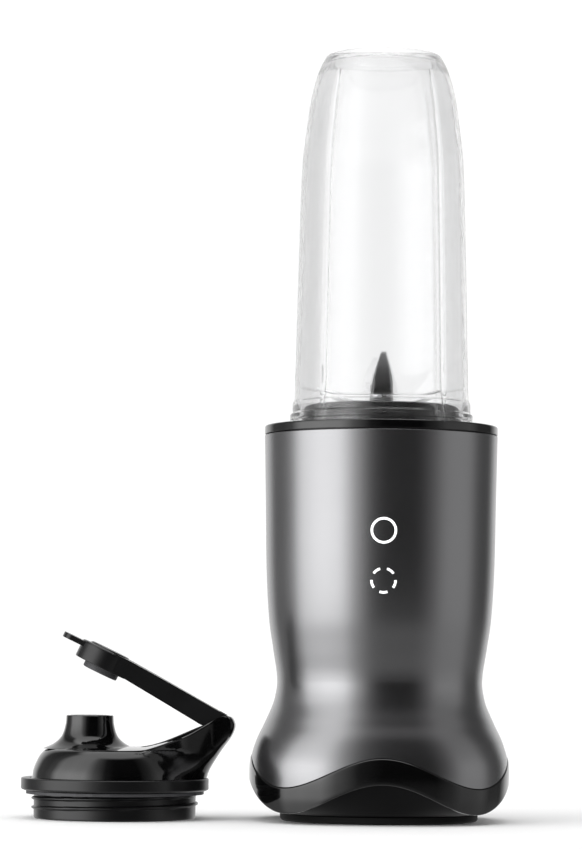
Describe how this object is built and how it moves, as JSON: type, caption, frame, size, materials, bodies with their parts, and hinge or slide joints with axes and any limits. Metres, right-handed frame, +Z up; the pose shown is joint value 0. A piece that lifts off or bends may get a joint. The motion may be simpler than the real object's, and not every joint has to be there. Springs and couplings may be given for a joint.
{
  "type": "countertop blender",
  "caption": "Personal blender: flared motor base with light-ring controls, upturned clear cup on a bladed holder, and a flip-top travel lid beside it.",
  "frame": {"origin": "centre of the underside of the round foot pad, on the axis of the motor base, in the plane of the counter", "axes": "+Z up along the motor and cup axis, -Y towards the front with the light rings, -X towards the travel lid"},
  "size_m": [0.2712, 0.144, 0.431],
  "materials": {
    "graphite_shell": "graphite metallic satin paint on moulded plastic",
    "gloss_black": "glossy moulded black",
    "satin_black": "satin moulded black",
    "clear_cup": "clear moulded copolyester",
    "soft_rubber": "matt black rubber",
    "silicone": "dark grey silicone",
    "steel": "brushed stainless steel",
    "laminations": "stacked steel laminations",
    "copper_wire": "enamelled copper",
    "carbon": "pressed carbon",
    "cast_alloy": "die-cast alloy",
    "circuit": "green circuit board",
    "light_white": "translucent white light guide",
    "nylon": "natural nylon"
  },
  "bodies": {
    "motor_base": {"outer_housing": "graphite_shell", "base_trim": "gloss_black", "top_collar": "gloss_black", "bottom_cover": "satin_black", "cup_well": "satin_black", "interlock_switch": "satin_black", "brush_holder_left": "satin_black", "brush_holder_right": "satin_black", "foot_pad": "soft_rubber", "motor_mount_1": "soft_rubber", "motor_mount_2": "soft_rubber", "motor_mount_3": "soft_rubber", "cord_gland": "soft_rubber", "upper_bearing": "steel", "lower_bearing": "steel", "plunger_spring": "steel", "brush_spring_left": "steel", "brush_spring_right": "steel", "bottom_screw_1": "steel", "bottom_screw_2": "steel", "bottom_screw_3": "steel", "stator_core": "laminations", "field_coil_front": "copper_wire", "field_coil_back": "copper_wire", "carbon_brush_left": "carbon", "carbon_brush_right": "carbon", "upper_motor_bracket": "cast_alloy", "lower_motor_bracket": "cast_alloy", "touch_board": "circuit", "power_board": "circuit", "start_light_ring": "light_white", "pulse_light_dash_1": "light_white", "pulse_light_dash_2": "light_white", "pulse_light_dash_3": "light_white", "pulse_light_dash_4": "light_white", "pulse_light_dash_5": "light_white"},
    "rotor": {"motor_shaft": "steel", "armature_core": "laminations", "armature_windings": "copper_wire", "commutator": "copper_wire", "cooling_fan": "nylon", "drive_coupling": "nylon"},
    "lock_ring": {"interlock_ring": "nylon"},
    "plunger": {"interlock_plunger": "nylon"},
    "blade_unit": {"blade_holder": "gloss_black", "holder_gasket": "silicone", "blade_bearing": "cast_alloy", "blade_shaft_seal": "soft_rubber"},
    "blade_rotor": {"blade_shaft": "steel", "upper_blade": "steel", "lower_blade": "steel", "blade_nut": "steel", "driven_coupling": "nylon"},
    "cup": {"cup": "clear_cup"},
    "travel_lid": {"lid_ring": "satin_black", "lid_gasket": "silicone", "lid_dome": "gloss_black", "hinge_pin": "steel"},
    "flip_cap": {"flip_arm": "satin_black", "spout_plug": "silicone"}
  },
  "joints": [
    {"name": "motor_spin", "type": "hinge", "parent": "motor_base", "child": "rotor", "pos_m": [0, 0, 0.111], "axis": [0, 0, 1], "continuous": true},
    {"name": "cup_twist", "type": "hinge", "parent": "motor_base", "child": "lock_ring", "pos_m": [0, 0, 0.205], "axis": [0, 0, 1], "range_deg": [0, 15]},
    {"name": "plunger_press", "type": "slide", "parent": "motor_base", "child": "plunger", "axis": [0, 0, -1], "range_m": [0, 0.003], "deforming": ["plunger_spring"]},
    {"name": "cup_set_lift", "type": "slide", "parent": "lock_ring", "child": "blade_unit", "axis": [0, 0, 1], "range_m": [0, 0.05]},
    {"name": "blade_spin", "type": "hinge", "parent": "blade_unit", "child": "blade_rotor", "pos_m": [0, 0, 0.215], "axis": [0, 0, 1], "continuous": true},
    {"name": "cup_off", "type": "slide", "parent": "blade_unit", "child": "cup", "axis": [0, 0, 1], "range_m": [0, 0.06]},
    {"name": "lid_lift", "type": "slide", "parent": "motor_base", "child": "travel_lid", "axis": [0, 0, 1], "range_m": [0, 0.06]},
    {"name": "flip_hinge", "type": "hinge", "parent": "travel_lid", "child": "flip_cap", "pos_m": [-0.086, 0, 0.053], "axis": [0, 1, 0], "range_deg": [-25.5, 62]}
  ],
  "couplings": [
    {"joint": "blade_spin", "follows": "motor_spin", "ratio": 1},
    {"joint": "plunger_press", "follows": "cup_twist", "m_per_rad": 0.011459}
  ]
}
